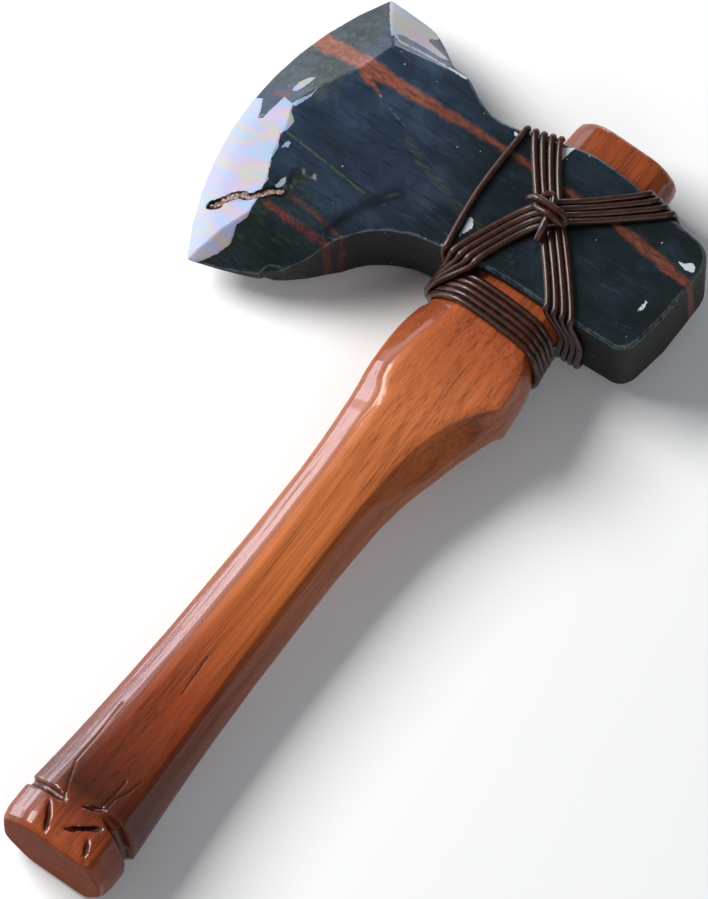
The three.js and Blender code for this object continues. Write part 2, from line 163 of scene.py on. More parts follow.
def copy_of(node, name):
    piece = bpy.data.objects.new(name, frame["nodes"][node].data.copy())
    scene.collection.objects.link(piece)
    piece.data.materials.clear()
    alone(piece)
    bpy.ops.object.mode_set(mode="EDIT")
    bpy.ops.mesh.select_all(action="SELECT")
    bpy.ops.mesh.remove_doubles(threshold=1e-6)
    bpy.ops.object.mode_set(mode="OBJECT")
    return piece


def shaped_by(piece, kind, **settings):
    tool = piece.modifiers.new(kind.lower(), kind)
    for key, value in settings.items():
        setattr(tool, key, value)
    alone(piece)
    bpy.ops.object.modifier_apply(modifier=tool.name)


def own_places(piece):
    """Every vertex of a piece along the axe's own axes, in millimetres."""
    flat = np.empty(len(piece.data.vertices) * 3)
    piece.data.vertices.foreach_get("co", flat)
    return (flat.reshape(-1, 3) - np.array(EYE)) @ np.array(TURN) / MM


def press(piece, amounts):
    """Moves each vertex along its normal by its amount in millimetres."""
    count = len(piece.data.vertices)
    flat, normals = np.empty(count * 3), np.empty(count * 3)
    piece.data.vertices.foreach_get("co", flat)
    piece.data.vertex_normals.foreach_get("vector", normals)
    flat += normals * np.repeat(amounts * MM, 3)
    piece.data.vertices.foreach_set("co", flat)
    piece.data.update()


def mark(piece, name, values):
    """Keeps one number per vertex, for a finish to read."""
    layer = piece.data.attributes.new(name, "FLOAT", "POINT")
    layer.data.foreach_set("value", np.asarray(values, np.float32))


def triangles(piece):
    return sum(len(face.vertices) - 2 for face in piece.data.polygons)


# %% Distances to lines and patches
def from_line(places, *points):
    """The distance of each place to a line through the points, in as many axes as they have."""
    line = np.array(points, float)
    places = places[:, :line.shape[1]]
    nearest = np.full(len(places), 1e9)
    for a, b in zip(line[:-1], line[1:]):
        along = np.clip(((places - a) @ (b - a)) / ((b - a) @ (b - a)), 0, 1)
        nearest = np.minimum(nearest, np.linalg.norm(places - a - along[:, None] * (b - a), axis=1))
    return nearest


def in_patch(places, *points):
    """How deep each place is inside an outline drawn on the cheek: negative outside it."""
    ring = list(points) + [points[0]]
    edge = from_line(places, *ring)
    x, y = places[:, 0], places[:, 1]
    inside = np.zeros(len(places), bool)
    for (ax, ay), (bx, by) in zip(ring[:-1], ring[1:]):
        if ay == by:
            continue
        inside ^= ((ay > y) != (by > y)) & (x < ax + (y - ay) * (bx - ax) / (by - ay))
    return np.where(inside, edge, -edge)


def soft(values, low, high):
    part = np.clip((values - low) / (high - low), 0, 1)
    return part * part * (3 - 2 * part)


def ripple(places, sizes, depth=3, seed=0.0):
    """Smooth noise from about -1 to 1, whose grain has the given size along each own axis."""
    grid = places / np.array(sizes, float) + seed
    return np.array([noise.fractal(Vector(p), 1.0, 2.0, depth) for p in grid])


def standing_out(piece, rounds):
    """How far each vertex stands out of its surroundings: high on ridges, low in grooves."""
    count = len(piece.data.vertices)
    ends = np.empty(len(piece.data.edges) * 2, np.int64)
    piece.data.edges.foreach_get("vertices", ends)
    a, b = ends.reshape(-1, 2).T
    flat, normals = np.empty(count * 3), np.empty(count * 3)
    piece.data.vertices.foreach_get("co", flat)
    piece.data.vertex_normals.foreach_get("vector", normals)
    here, out = flat.reshape(-1, 3) / MM, normals.reshape(-1, 3)
    shares = np.bincount(a, minlength=count) + np.bincount(b, minlength=count)
    calm = here.copy()
    for _ in range(rounds):
        total = np.stack([
            np.bincount(a, calm[b, k], count) + np.bincount(b, calm[a, k], count) for k in range(3)], 1)
        calm = total / shares[:, None]
    return ((here - calm) * out).sum(1)


# %% [markdown]
# ## The stone head
# The head was ground from a dark slate-green pebble with rust-red veins and then polished. Its
# ridges are rounded by less than a millimetre, its cheeks still wave a little from the grinding
# stone, and small flakes are missing along the beard, around the crack in the bevel and along the
# edges. A sculpted mesh could show this, but pressing measured amounts into an even skin keeps the
# true outline.

# %% Skin of the stone
FINE = 0.5
MOST_TRIANGLES = 190000
head = copy_of("stone_head", "polished_stone_head")
shaped_by(head, "REMESH", mode="VOXEL", voxel_size=FINE * MM)
shaped_by(head, "SMOOTH", factor=0.5, iterations=4)
stone_at = own_places(head)
x, y, z = stone_at.T
front = z > 0
print("stone skin:", triangles(head), "triangles")

# %% Where the features of the stone lie
CRACK = [(-86.5, -57), (-89.5, -59), (-92.5, -62), (-95.5, -64.7), (-99.5, -64.8), (-102.5, -67),
         (-104.5, -69.5), (-106.8, -72)]
CRACK_END = [(-107.4, -72.5), (-105, -71.5)]
CHIPPED = [(-92, -55.5), (-88, -51), (-89.5, -47), (-87, -44.5), (-79.5, -43.5), (-78, -46.5), (-82, -51),
           (-86.5, -58)]
BEARD_CHIP = [(-77, -84), (-75.5, -80), (-73, -78.5), (-70, -77.7), (-72, -84)]
BEARD_LINE = [(-26.5, -39), (-42.5, -44.5), (-51, -50.5), (-57.5, -58.5), (-61, -64.5), (-65, -71.5),
              (-66.5, -74), (-73, -78.5), (-75.5, -80), (-77, -83), (-87.5, -88), (-98, -92)]
# Outlines of the painted pearly light: a reflection on the lower bevel, highlight flecks, and the heel
# facet with a highlight along its ridge.
PEARLY_REFLECTION = [(-110, -23), (-104, -25.5), (-103, -28), (-99.5, -31), (-99.5, -35), (-101, -38), (-98, -43),
         (-97.5, -49.5), (-93.5, -55.5), (-93.5, -61), (-95.5, -63.5), (-92, -64), (-91, -72), (-93, -76),
         (-91.5, -82), (-94, -87), (-100, -95), (-140, -90), (-130, -27), (-118, -26), (-115.5, -30),
         (-114, -34.5), (-112, -34)]
PEARLY_HIGHLIGHTS = [
    [(-105, -10), (-107.5, -11), (-109.5, -14.5), (-109.5, -19), (-107.5, -19), (-105.5, -14)],
    [(-100.5, -14), (-100.5, -18.5), (-103, -26), (-105, -25.5), (-101.5, -18.5)],
    [(-95.5, -37.5), (-95, -40.5), (-97, -42.5), (-97.5, -39.5)],
    [(-88.5, -50.5), (-87.5, -53), (-88.5, -57), (-90, -56), (-89.5, -52.5)],
    [(-30.5, 14.5), (-27.5, 14), (-28.5, 13), (-30, 13)],
    [(-23.5, -23.5), (-21, -24), (-20, -27), (-22, -33)],
    [(-13, 19), (-8, 22.5), (-9, 18.5), (-9.5, 14)],
    [(49.3, 7.8), (52.5, 8.6), (53.8, 10.4), (56.2, 10), (57, 7.6), (54.5, 6.7), (51.2, 7)],
    [(49, -12), (50.3, -12), (50.6, -15), (49.7, -18.2), (49.1, -16)],
    [(40, 11.6), (41, 10.9), (40.1, 9.6)],
    [(-52.4, -38), (-53.1, -44), (-52.8, -44), (-52.1, -38)],
    [(-81.7, -2.2), (-79, -3.4), (-80.3, -4.2)],
]
HEEL_REFLECTION = [(-107, 38), (-76, 38), (-78.5, 30.5), (-81, 29), (-79.5, 27.5), (-68.5, 24.5), (-71, 23.4),
              (-83, 23.7), (-90, 22.8), (-92, 20)]
HEEL_RIDGE = [(-97, 27), (-92, 22), (-87.3, 19.5), (-80, 20.6), (-70.5, 21), (-58, 21.2)]
# Along this line a soft band of shade is painted.
SCAR_SLOPE = [(-51, -31), (-56, -38), (-61, -49), (-65, -59)]

# %% Press the relief into the stone
wander = ripple(stone_at, (9, 9, 9), 2, 11)
ragged = ripple(stone_at, (1.8, 1.8, 1.8), 3, 4)
crack_gap = from_line(stone_at, *CRACK) + 0.4 * ragged
hole_gap = from_line(stone_at, *CRACK_END)
chipped = soft(in_patch(stone_at, *CHIPPED) + 0.8 * ragged, -0.5, 2.5) * front
beard_gap = from_line(stone_at, *BEARD_LINE)
reflection_depth = np.where(front, in_patch(stone_at, *PEARLY_REFLECTION), -9)
upper_bevel = soft(-x - 92, 0, 8) * soft(y, -24, -14)
edge_reach = np.hypot(x - 4.7, y + 28)

relief = 0.12 * ripple(stone_at, (24, 24, 24), 2) + 0.025 * ripple(stone_at, (7, 5, 7), 3, 5)
relief += 0.05 * upper_bevel * ripple(stone_at, (3.2, 3.2, 3.2), 3, 9)
relief -= chipped * (0.5 + 0.3 * ripple(stone_at, (5, 5, 5), 2, 2))
relief -= 0.9 * soft(in_patch(stone_at, *BEARD_CHIP), -0.3, 0.8) * (z > -4)
relief -= 0.7 * soft(-crack_gap, -1.3, -0.2) * front * (0.8 + 0.7 * ragged)
relief -= 0.8 * soft(-hole_gap, -2.2, -0.8) * front
relief -= 0.25 * soft(-beard_gap, -1.8, -0.2) * front * (0.5 + ripple(stone_at, (5, 5, 5), 2, 7))
relief += 0.12 * soft(reflection_depth + 0.6 * ragged, -0.3, 0.4) * soft(crack_gap, 1, 2)
relief += 0.35 * soft(edge_reach, 123.5, 125) * soft(-y, 50, 60) * ripple(stone_at, (5, 5, 50), 2, 17)
press(head, relief)
print("stone relief from %.2f to %.2f mm" % (relief.min(), relief.max()))

# %% Marks that the stone's finish reads
VEIN = [(-125, 7.4, 4.1), (-98, 4.4, 3.4), (-80, 3.9, 2.6), (-68, 4.4, 2.3), (-54, 5, 1.8), (-46, 5.9, 1.3),
        (-17, 6.5, 1.2), (23, 6.3, 1), (31, 5.3, 2.1), (48, 3.8, 2.1), (57, 2.6, 1.6), (64, 4.2, 1.4)]
vein_x, vein_y, vein_half = np.array(VEIN).T
vein_middle = np.interp(x, vein_x, vein_y) + 0.05 * (18 - z)
vein = np.interp(x, vein_x, vein_half) - np.abs(y - vein_middle + 0.7 * wander)
branch = 1.4 * soft(-x, 78, 90) - from_line(stone_at, (-90.8, 0.9), (-85, -1.2), (-79, -4.1))
low_a = 0.8 - from_line(stone_at, (-83, -55.7), (-70, -57), (-57.5, -58.7), (-52.5, -57))
low_b = 1.6 - from_line(stone_at, (-88, -63.8), (-74, -64.2), (-60, -63.5), (-53, -63))
upper_stain = 1.3 - from_line(stone_at, (-114, -22.5), (-109, -22))
mark(head, "rust", np.maximum.reduce([vein, branch]))
mark(head, "faint_rust", np.maximum.reduce([low_a - 0.5 * wander, low_b - 0.6 * wander, upper_stain]))

olive_band = 2.2 - from_line(stone_at, (-60, -11.8), (-52, -16.3), (-38.5, -19.9), (-26, -24.3), (0, -30))
olive_line = 0.45 - from_line(stone_at, (-99, -36), (-79.5, -37.4), (-59, -39.5))
pale_line = 0.3 - from_line(stone_at, (-86, 0), (-79.5, -3.4), (-71.5, -6.4), (-62, -9.1))
hair_lines = 0.25 - from_line(stone_at, (44.5, -26.3), (49, -25), (52, -24.5))
mark(head, "olive", np.where(front, olive_band - 1.4 * wander, -9))
mark(head, "olive_line", np.where(front, olive_line, -9))
mark(head, "pale_line", np.where(front, np.maximum(pale_line, hair_lines), -9))

# Painted reflections and highlights in pearly colours, kept off the crack and its hole.
flecks = np.maximum.reduce([in_patch(stone_at, *fleck) for fleck in PEARLY_HIGHLIGHTS])
heel_plane = (x + 104) * -0.112 + (y - 34.8) * 0.554 + (z - 2) * 0.825
heel_gap = from_line(stone_at, (-89, 22.5), (-84.5, 22.6), (-78, 22.6), (-71, 22.7)) - 0.75
heel = np.minimum(in_patch(stone_at, *HEEL_REFLECTION), heel_gap)
heel = np.maximum(np.where(heel_plane > -0.7, heel, -3), 0.5 - from_line(stone_at, *HEEL_RIDGE))
painted_pearly_light = np.where(front, np.maximum.reduce([reflection_depth, flecks, heel]), -9)
mark(head, "pearly_reflection", np.minimum(painted_pearly_light, np.minimum(crack_gap - 1.6, hole_gap - 2)))
mark(head, "crack", np.where(front, 0.75 - crack_gap, -9))
mark(head, "crack_side", np.where(front, np.maximum(2.5 - crack_gap, 2.3 - hole_gap), -9))
mark(head, "chipped", chipped)
mark(head, "rough_bevel", upper_bevel)
beard_corner = soft(-x, 55, 70) * soft(-y, 45, 58)
green = 0.45 * upper_bevel + 0.7 * beard_corner + 0.45 * soft(x, 10, 35) + 0.3 * chipped
mark(head, "green", green)
mark(head, "blue", soft(-x, 15, 60) * soft(y, -62, -42))
mark(head, "near_edge", soft(edge_reach, 114, 126))
mark(head, "shaded", np.where(front, soft(-from_line(stone_at, *SCAR_SLOPE), -4.2, -1), 0))
normals = np.empty(len(x) * 3)
head.data.vertex_normals.foreach_get("vector", normals)
mark(head, "side_wall", 1 - soft(np.abs(normals.reshape(-1, 3) @ np.array(OUT)), 0.3, 0.6))
smooth_there = soft(-x, 46, 54) * soft(-y, 24, 30) * soft(beard_gap, 2, 4) * soft(-reflection_depth, 1, 3)
smooth_there = np.maximum(smooth_there, soft(-from_line(stone_at, (-24, -32), (-50, -31)), -5, -2))
stone_standing_out = standing_out(head, 3) * (1 - smooth_there)
mark(head, "standing_out", stone_standing_out)
print("stone wear: ridges %.3f %.3f, grooves %.3f" % tuple(np.percentile(stone_standing_out, (99.5, 98, 1))))
shaped_by(head, "DECIMATE", ratio=MOST_TRIANGLES / triangles(head))
print("stone skin:", triangles(head), "triangles, marks:", len(head.data.attributes))
alone(head)
bpy.ops.object.shade_smooth()

# %% [markdown]
# ## Writing a finish
# A finish is a material made of nodes. Its patterns are laid out in millimetres along the axe's own
# axes, so that a grain of 3 is 3 mm on the object, whichever way the axe lies. A small helper keeps
# each finish short: every call adds one node and gives back its output.

# %% Finish helper
def tone(code):
    """A colour from the usual six-digit code, as the light values that a shader needs."""
    parts = [int(code[i:i + 2], 16) / 255 for i in (0, 2, 4)]
    return [p / 12.92 if p <= 0.04045 else ((p + 0.055) / 1.055) ** 2.4 for p in parts] + [1]


class Finish:
    def __init__(self, name, **constants):
        self.material = bpy.data.materials.new(name)
        self.material.use_nodes = True
        self.tree = self.material.node_tree
        self.shader = self.tree.nodes["Principled BSDF"]
        for socket, value in constants.items():
            self.shader.inputs[socket.replace("_", " ")].default_value = value
        coords = self.node("ShaderNodeTexCoord").outputs["Object"]
        self.place = self.node("ShaderNodeMapping", {
            "Vector": coords, "Location": EYE, "Rotation": TURN.to_euler(), "Scale": (MM, MM, MM),
        }, vector_type="TEXTURE").outputs[0]

    def node(self, kind, inputs=(), **settings):
        made = self.tree.nodes.new(kind)
        for key, value in settings.items():
            setattr(made, key, value)
        for socket, value in dict(inputs).items():
            if isinstance(value, bpy.types.NodeSocket):
                self.tree.links.new(value, made.inputs[socket])
            else:
                made.inputs[socket].default_value = value
        return made

    def stretched(self, x, y, z):
        sizes = (1 / x, 1 / y, 1 / z)
        return self.node("ShaderNodeVectorMath", {0: self.place, 1: sizes}, operation="MULTIPLY").outputs[0]

    def noise(self, grain, detail=4, roughness=0.5, warp=0.0):
        """Cloudy noise with the given grain along X, Y and Z, in millimetres."""
        return self.node("ShaderNodeTexNoise", {
            "Vector": self.stretched(*grain), "Scale": 1.0, "Detail": detail, "Roughness": roughness,
            "Distortion": warp,
        }).outputs["Fac"]

    def maths(self, operation, a, b=0.0):
        return self.node("ShaderNodeMath", {0: a, 1: b}, operation=operation).outputs[0]

    def times(self, a, b):
        return self.maths("MULTIPLY", a, b)

    def plus(self, a, b):
        return self.maths("ADD", a, b)

    def most(self, a, b):
        return self.maths("MAXIMUM", a, b)

    def rise(self, value, low, high):
        """0 below low, 1 above high, with a soft step between."""
        return self.node("ShaderNodeMapRange", {"Value": value, "From Min": low, "From Max": high},
                         interpolation_type="SMOOTHSTEP").outputs["Result"]

    def mark(self, name):
        return self.node("ShaderNodeAttribute", attribute_name=name).outputs["Fac"]

    def ramp(self, value, *stops):
        ramp = self.node("ShaderNodeValToRGB", {"Fac": value})
        elements = ramp.color_ramp.elements
        while len(elements) < len(stops):
            elements.new(0.5)
        for element, (at, code) in zip(elements, stops):
            element.position, element.color = at, tone(code)
        return ramp.outputs["Color"]

    def mix(self, amount, a, b, blend="MIX"):
        made = self.node("ShaderNodeMix", data_type="RGBA", blend_type=blend)
        for index, value in ((0, amount), (6, a), (7, b)):
            if isinstance(value, bpy.types.NodeSocket):
                self.tree.links.new(value, made.inputs[index])
            else:
                made.inputs[index].default_value = value
        return made.outputs[2]

    def level(self, amount, a, b):
        """A plain number that goes from a to b."""
        ends = {"Value": amount, "To Min": a, "To Max": b}
        return self.node("ShaderNodeMapRange", ends).outputs["Result"]

    def bump(self, height, millimetres, under=None):
        inputs = {"Height": height, "Distance": millimetres * MM, "Strength": 1.0}
        if under is not None:
            inputs["Normal"] = under
        return self.node("ShaderNodeBump", inputs).outputs[0]

    def ends(self, colour, roughness, normal):
        for socket, value in (("Base Color", colour), ("Roughness", roughness), ("Normal", normal)):
            self.tree.links.new(value, self.shader.inputs[socket])
        return self.material


# %% [markdown]
# ## Polished stone
# The colour is built up as the stone was: a dark blue-grey ground with cloudy patches, olive
# streaks, thin pale lines and one broad rust vein that runs through from edge to poll. Light and
# shade are painted over it: pale specks as glints, a lighter, bluer sheen towards the cutting edge,
# a grey sheen on the upper bevel, shade on the side walls, along the crack and along the flake scar,
# and pearly reflections and highlights, pale violet to yellow, on the polished flakes near the edge,
# in flecks and on the heel. Polish makes the stone mirror-like on the cheeks and duller on the
# flaked bevel and in the chips.

# %% Stone finish
stone = Finish("polished_stone", Specular_IOR_Level=0.3)
across = stone.node("ShaderNodeSeparateXYZ", {0: stone.place}).outputs["X"]
edge_noise = stone.maths("SUBTRACT", stone.noise((2.4, 1.4, 2), 5, 0.65), 0.5)
fine_noise = stone.maths("SUBTRACT", stone.noise((0.8, 0.8, 0.8), 4, 0.65), 0.5)
vein_noise = stone.maths("SUBTRACT", stone.noise((5, 2.4, 4), 7, 0.6, 0.6), 0.5)


def bordered(name, low, high, raggedness, ragged=edge_noise):
    """A mark whose border is frayed by noise."""
    return stone.rise(stone.plus(stone.mark(name), stone.times(ragged, raggedness)), low, high)


clouds = stone.noise((26, 16, 24), 8, 0.62, 0.5)
dark_ground = stone.ramp(clouds, (0.3, "0c1418"), (0.5, "142029"), (0.68, "22303c"))
# Painted reflection: towards the cutting edge the stone's own blue-grey is made lighter and bluer, as a
# sheen of the sky on the cheek.
blue_ground = stone.ramp(clouds, (0.3, "17212c"), (0.5, "222f40"), (0.68, "334256"))
ground = stone.mix(stone.mark("blue"), dark_ground, blue_ground)
wisps = stone.rise(stone.noise((16, 1.8, 3.4), 7, 0.66, 0.9), 0.52, 0.7)
ground = stone.mix(stone.times(wisps, 0.7), ground, tone("0d1416"))
pale_wisps = stone.rise(stone.noise((12, 2.6, 5), 7, 0.66, 1.2), 0.56, 0.72)
ground = stone.mix(stone.times(pale_wisps, 0.45), ground, tone("3a4652"))

# %% Moss-green patches, painted shade on the side walls and a painted grey sheen on the upper bevel
moss_noise = stone.plus(stone.noise((16, 4, 9), 8, 0.72), stone.times(stone.mark("green"), 0.2))
moss_grain = stone.noise((4, 1.2, 3), 6, 0.6)
moss_colour = stone.ramp(moss_grain, (0.35, "121813"), (0.52, "1c241b"), (0.7, "2f3727"))
ground = stone.mix(stone.times(stone.rise(moss_noise, 0.54, 0.76), 0.7), ground, moss_colour)
# Painted shade: every side wall round the head is darkened nearly to black.
ground = stone.mix(stone.times(stone.mark("side_wall"), 0.8), ground, tone("060807"))
ground = stone.mix(stone.times(stone.mark("chipped"), 0.85), ground, tone("0d100c"))
# Painted reflection on the rough upper bevel: a lighter grey sheen.
bevel_noise = stone.noise((3, 3, 3), 7, 0.7)
grey_bevel = stone.ramp(bevel_noise, (0.35, "1d2523"), (0.52, "363f39"), (0.68, "525c52"))
ground = stone.mix(stone.times(stone.mark("rough_bevel"), 0.5), ground, grey_bevel)

# %% Olive and pale lines, the rust vein and the red streaks
threads = stone.rise(stone.noise((6, 0.9, 2), 6, 0.7, 0.6), 0.46, 0.62)
olive = stone.times(bordered("olive", -0.6, 1.8, 5), threads)
ground = stone.mix(stone.times(olive, 0.6), ground, tone("4a5036"))
olive_thread = stone.rise(stone.mark("olive_line"), -0.15, 0.2)
ground = stone.mix(stone.times(olive_thread, 0.5), ground, tone("4d5832"))
ground = stone.mix(stone.times(bordered("pale_line", -0.1, 0.3, 0.6), 0.6), ground, tone("76837c"))
rust_noise = stone.noise((3.6, 1.2, 2.4), 7, 0.72, 0.4)
rust_colour = stone.ramp(rust_noise, (0.3, "4c271b"), (0.5, "7c4430"), (0.7, "9a5d45"))
ground = stone.mix(stone.times(bordered("rust", -1.1, 1.0, 4, vein_noise), 0.78), ground, rust_colour)
spots = stone.rise(stone.noise((1.8, 1.1, 1.4), 5, 0.7), 0.44, 0.6)
faint = stone.times(bordered("faint_rust", -0.7, 1.4, 5), stone.level(spots, 0.25, 0.85))
ground = stone.mix(faint, ground, tone("6a3022"))
# Painted reflection: the ground, vein and cloud included, darkens away from the cutting edge, where the
# cheek's bluish sheen fades.
ground = stone.mix(stone.times(stone.rise(across, -85, -30), 0.32), ground, tone("141210"))
# Painted shade: a soft dark band along the slope of the flake scar.
ground = stone.mix(stone.times(stone.mark("shaded"), 0.35), ground, tone("0a0d0f"))

# %% Pale specks painted as glints, and lighter ridges
# Painted glints: a few cells scattered over the stone become small pale specks.
glint_cells = stone.node("ShaderNodeTexVoronoi", {"Vector": stone.place, "Scale": 0.5, "Randomness": 1.0})
chosen = stone.node("ShaderNodeSeparateColor", {"Color": glint_cells.outputs["Color"]}).outputs["Red"]
round_glint = stone.maths("SUBTRACT", 1.0, stone.rise(glint_cells.outputs["Distance"], 0.08, 0.2))
speck = stone.times(stone.rise(chosen, 0.968, 0.973), round_glint)
ground = stone.mix(stone.times(speck, 0.75), ground, tone("a3afae"))
# Lighter along the ridges, where the skin stands out most.
ridge = stone.rise(stone.plus(stone.mark("standing_out"), stone.times(edge_noise, 0.12)), 0.045, 0.09)
ground = stone.mix(stone.times(ridge, 0.32), ground, tone("68757a"))

# %% The crack with its painted shade, and the painted pearly reflections
# Painted shade: dark along both walls of the crack and in the hole at its end.
ground = stone.mix(bordered("crack_side", 0, 0.5, 1.4, fine_noise), ground, tone("070606"))
rubble_noise = stone.noise((0.9, 0.9, 0.9), 4, 0.7)
rubble = stone.ramp(rubble_noise, (0.36, "1a1210"), (0.48, "6e4f46"), (0.62, "b39a94"))
crack = bordered("crack", -0.1, 0.2, 0.8, fine_noise)
ground = stone.mix(crack, ground, rubble)
# The painted pearly reflections change colour in slow bands, as a thin film does.
film = stone.noise((24, 6.5, 22), 0, 0.4, 0.35)
shimmer = stone.ramp(film, (0.28, "748a9c"), (0.38, "7c89a3"), (0.46, "88839e"), (0.52, "908390"),
                     (0.6, "8c8c7e"), (0.7, "7a8b9a"))
# Painted highlights: the pearly colour turns whiter near the cutting edge, and nearly white on the flecks
# towards the poll.
shimmer = stone.mix(stone.times(stone.mark("near_edge"), 0.4), shimmer, tone("a3abb6"))
shimmer = stone.mix(stone.rise(across, -85, -45), shimmer, tone("b4bcc0"))
pearly_reflection = bordered("pearly_reflection", -0.1, 0.12, 1.2)
ground = stone.mix(pearly_reflection, ground, shimmer)

# %% How polished each part is
polish = stone.level(stone.noise((5, 5, 5), 4), 0.13, 0.24)
dull = stone.times(stone.most(stone.mark("rough_bevel"), stone.mark("chipped")), 0.4)
dull = stone.most(stone.most(dull, crack), stone.mark("side_wall"))
dull = stone.most(dull, stone.times(pearly_reflection, 0.5))
polish = stone.plus(polish, stone.times(dull, 0.5))
pits = stone.bump(stone.noise((0.8, 0.8, 0.8), 4, 0.6), 0.01)
waves = stone.bump(stone.noise((5, 2.6, 5), 4, 0.6), 0.03, pits)
head.data.materials.append(stone.ends(ground, polish, waves))
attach(head, "root")
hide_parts("stone_head")

# %% [markdown]
# ## The carved handle
# One piece of red-brown hardwood, shaved to eight flats with rounded corners, swollen into a
# knuckle under the head and scooped below it. The notches and the knife cuts near the butt are in
# the solid. What is added here is what a knife and years of handling leave: flats that are not
# quite flat, open grain, a hairline split, long drying cracks, a scored line and a few nicks.

# %% Skin and relief of the handle
grip = copy_of("handle", "carved_handle")
shaped_by(grip, "REMESH", mode="VOXEL", voxel_size=FINE * MM)
shaped_by(grip, "SMOOTH", factor=0.5, iterations=3)
wood_at = own_places(grip)
wood_front = wood_at[:, 2] > 0
SPLIT = [(1.7, -221), (2.2, -230.5), (2.6, -239)]
CRACKS = [[(7.4, -279.5), (7.3, -286.5), (6.5, -294)],
          [(12, -276), (10.8, -282.5), (8.5, -287.5), (8.4, -292.5)]]
SCORED = [(-13.3, -254), (-12.6, -270), (-12.6, -283.5), (-9, -293), (-6.6, -299)]
NICKS = [[(23.5, -72.5), (24.4, -77.5)], [(8, -62.7), (8.8, -65.2)],
         [(-8, -102), (-8.8, -110.5), (-8.5, -116.5)], [(9.7, -114), (9.8, -122.5)],
         [(9.5, -200), (9.7, -206)]]


def groove(places, line, width, depth):
    return depth * soft(-from_line(places, *line), -width, 0) * (places[:, 2] > 0)


carving = 0.05 * ripple(wood_at, (9, 60, 9), 2, 21) + 0.02 * ripple(wood_at, (1.4, 26, 1.4), 3, 23)
# Each carved line has half its width and its depth in millimetres.
carved_lines = [(SPLIT, 0.6, 0.25), *[(line, 0.7, 0.3) for line in CRACKS], (SCORED, 0.8, 0.2),
                *[(line, 0.6, 0.12) for line in NICKS]]
for line, half_width, depth in carved_lines:
    carving -= groove(wood_at, line, half_width, depth)
press(grip, carving)
print("handle skin:", triangles(grip), "triangles")
print("handle relief from %.2f to %.2f mm" % (carving.min(), carving.max()))

mark(grip, "opened", np.where(wood_front, 0.2 - from_line(wood_at, *SPLIT), -5))
shallow = np.maximum.reduce([0.4 - from_line(wood_at, *line) for line in CRACKS])
mark(grip, "scored", np.where(wood_front, shallow, -5))
wood_normals = np.empty(len(wood_at) * 3)
grip.data.vertex_normals.foreach_get("vector", wood_normals)
facing_right = wood_normals.reshape(-1, 3) @ np.array(ACROSS)
facing_down = -wood_normals.reshape(-1, 3) @ np.array(UP_HANDLE)
mark(grip, "end_grain", soft(facing_down, 0.6, 0.9) * (wood_at[:, 1] < -305))
mark(grip, "right_side", soft(facing_right, 0.25, 0.5) * soft(-wood_at[:, 1], 60, 90))
mark(grip, "left_bevel", soft(-facing_right, 0.2, 0.5) * (1 - soft(-facing_right, 0.72, 0.85)))
mark(grip, "steep", soft(-facing_right, 0.7, 0.85))
wood_standing_out = standing_out(grip, 4)
mark(grip, "standing_out", wood_standing_out)
print("wood wear: ridges %.3f, grooves %.3f" % tuple(np.percentile(wood_standing_out, (99, 1))))
shaped_by(grip, "DECIMATE", ratio=MOST_TRIANGLES / triangles(grip))
print("handle skin:", triangles(grip), "triangles")
alone(grip)
bpy.ops.object.shade_smooth()

# %% [markdown]
# ## Varnished wood
# Long fibres are noise drawn out along the handle, many times longer than wide. Wide soft bands of
# darker heartwood lie under them, and pores are thin dark dashes. The wood is orange-brown where it
# is held at the top and redder and darker towards the butt. A clear varnish over it gives the sharp
# reflections, while the wood beneath stays satin.

# %% Wood finish
wood = Finish("varnished_wood", Coat_Weight=0.7, Coat_Roughness=0.1, Coat_IOR=1.42, Specular_IOR_Level=0.15)
height = wood.node("ShaderNodeSeparateXYZ", {0: wood.place}).outputs["Y"]
whole_length = {"Value": height, "From Min": -320.0, "From Max": 40.0}
along = wood.node("ShaderNodeMapRange", whole_length).outputs["Result"]
colour = wood.ramp(along, (0.0, "9c4a24"), (0.035, "8a3c1a"), (0.08, "431706"), (0.22, "863815"),
                   (0.4, "b5632f"), (0.6, "ba693a"), (0.72, "a4532e"), (0.88, "8f4420"))
fibres = wood.noise((0.45, 70, 0.45), 6, 0.6, 0.1)
bands = wood.noise((5, 110, 5), 4, 0.55, 0.8)
figure = wood.plus(wood.times(fibres, 0.6), wood.times(bands, 0.4))
shade = wood.ramp(figure, (0.36, "8c7f78"), (0.5, "e8e4e0"), (0.62, "ffffff"))
colour = wood.mix(0.85, colour, shade, "MULTIPLY")
pores = wood.rise(wood.noise((0.3, 26, 0.3), 4, 0.6), 0.58, 0.7)
colour = wood.mix(wood.times(pores, 0.25), colour, tone("4a1a0a"))
# Painted shade: the sides of the handle that face right are darkened.
colour = wood.mix(wood.times(wood.mark("right_side"), 0.4), colour, tone("4c1a0c"))
# Painted shade: the left bevel is darkened under the reflection of the strip lamp.
colour = wood.mix(wood.times(wood.mark("left_bevel"), 0.5), colour, tone("5a2a1a"))
gap_noise = wood.maths("SUBTRACT", wood.noise((0.8, 2.4, 0.8), 4, 0.6), 0.5)
opened_here = wood.rise(wood.plus(wood.mark("opened"), wood.times(gap_noise, 0.4)), 0.0, 0.25)
colour = wood.mix(opened_here, colour, tone("1f0b06"))
scored_here = wood.rise(wood.plus(wood.mark("scored"), wood.times(gap_noise, 0.6)), -0.1, 0.3)
colour = wood.mix(wood.times(scored_here, 0.3), colour, tone("4a1f10"))
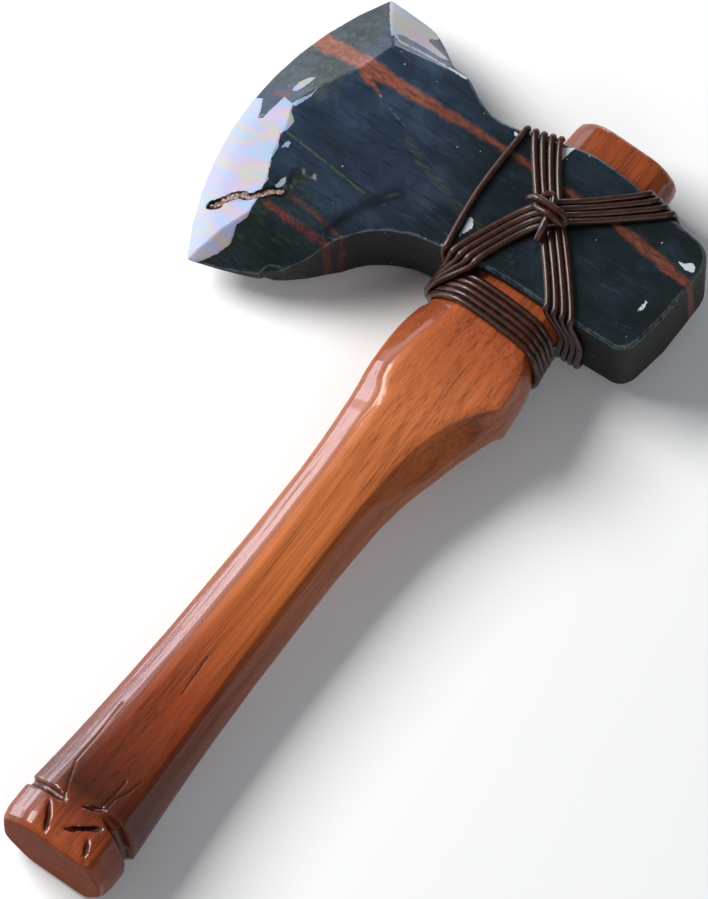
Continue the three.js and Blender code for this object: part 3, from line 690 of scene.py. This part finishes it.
# Painted shade: grooves, cuts and notches are darkened nearly to black; the same hollows lose their varnish
# below.
hollow = wood.rise(wood.times(wood.mark("standing_out"), -1.0), 0.03, 0.08)
colour = wood.mix(wood.times(hollow, 0.8), colour, tone("210b05"))
colour = wood.mix(wood.times(wood.mark("end_grain"), 0.5), colour, tone("5a2815"))
satin = wood.level(wood.noise((3, 12, 3), 4), 0.32, 0.46)
satin = wood.plus(satin, wood.times(wood.mark("end_grain"), 0.4))
grain = wood.bump(fibres, 0.02, wood.bump(wood.noise((0.4, 9, 0.4), 4), 0.008))
grip.data.materials.append(wood.ends(colour, satin, grain))
# The varnish is missing on the end grain and in every cut, and thin on the steep and scooped sides.
bare = wood.most(wood.mark("end_grain"), wood.most(hollow, opened_here))
rubbed_off = wood.most(wood.mark("right_side"), wood.times(wood.mark("steep"), 1.4))
bare = wood.most(bare, wood.times(rubbed_off, 0.55))
open_wood = wood.level(bare, 0.7, 0.03)
wood.tree.links.new(open_wood, wood.shader.inputs["Coat Weight"])
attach(grip, "root")
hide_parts("handle")

# %% [markdown]
# ## Leather cord
# The cords are round laces of dark, waxed leather, pulled tight. In the solid each one has eight
# flat sides, so a copy is turned back into quads and subdivided until it is round, then swelled to
# its full thickness again. Fine creases are pressed across and along it, because a smooth tube
# would look like wire.

# %% Rounding a cord
def supple(node, name, seed, swell):
    lace = copy_of(node, name)
    bpy.ops.object.mode_set(mode="EDIT")
    bpy.ops.mesh.select_all(action="SELECT")
    bpy.ops.mesh.tris_convert_to_quads(face_threshold=math.radians(60), shape_threshold=math.radians(80))
    bpy.ops.object.mode_set(mode="OBJECT")
    shaped_by(lace, "SUBSURF", levels=3, render_levels=3)
    lace_at = own_places(lace)
    press(lace, swell + 0.05 * ripple(lace_at, (1.1, 1.1, 1.1), 3, seed))
    mark(lace, "standing_out", standing_out(lace, 4))
    alone(lace)
    bpy.ops.object.shade_smooth()
    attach(lace, "root")
    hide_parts(node)
    print("%-14s %6d triangles" % (name, triangles(lace)))
    return lace


cords = [
    supple("cross_lashing", "leather_lashing", 31, 0.2),
    supple("neck_wrap", "leather_neck_wrap", 37, 0.2),
    supple("crossing_knot", "leather_knot", 41, 0.3),
]

# %% [markdown]
# ## Waxed leather
# Nearly black brown, lighter and redder where the lace is stretched and rubbed, with wax that
# gives thin bright lines along each strand.

# %% Leather finish
leather = Finish("leather_cord", Specular_IOR_Level=0.35, Coat_Weight=0.2, Coat_Roughness=0.18)
hide = leather.noise((3, 3, 3), 5, 0.6)
brown = leather.ramp(hide, (0.3, "1b0a06"), (0.52, "2e130a"), (0.72, "452010"))
rubbed = leather.rise(leather.noise((0.9, 0.9, 0.9), 4, 0.65), 0.54, 0.72)
brown = leather.mix(leather.times(rubbed, 0.18), brown, tone("7c4630"))
wax = leather.level(leather.noise((1.6, 1.6, 1.6), 4), 0.22, 0.5)
creases = leather.bump(leather.noise((0.4, 0.4, 0.4), 4, 0.65), 0.03)
for cord in cords:
    cord.data.materials.append(leather.material)
leather.ends(brown, wax, creases)
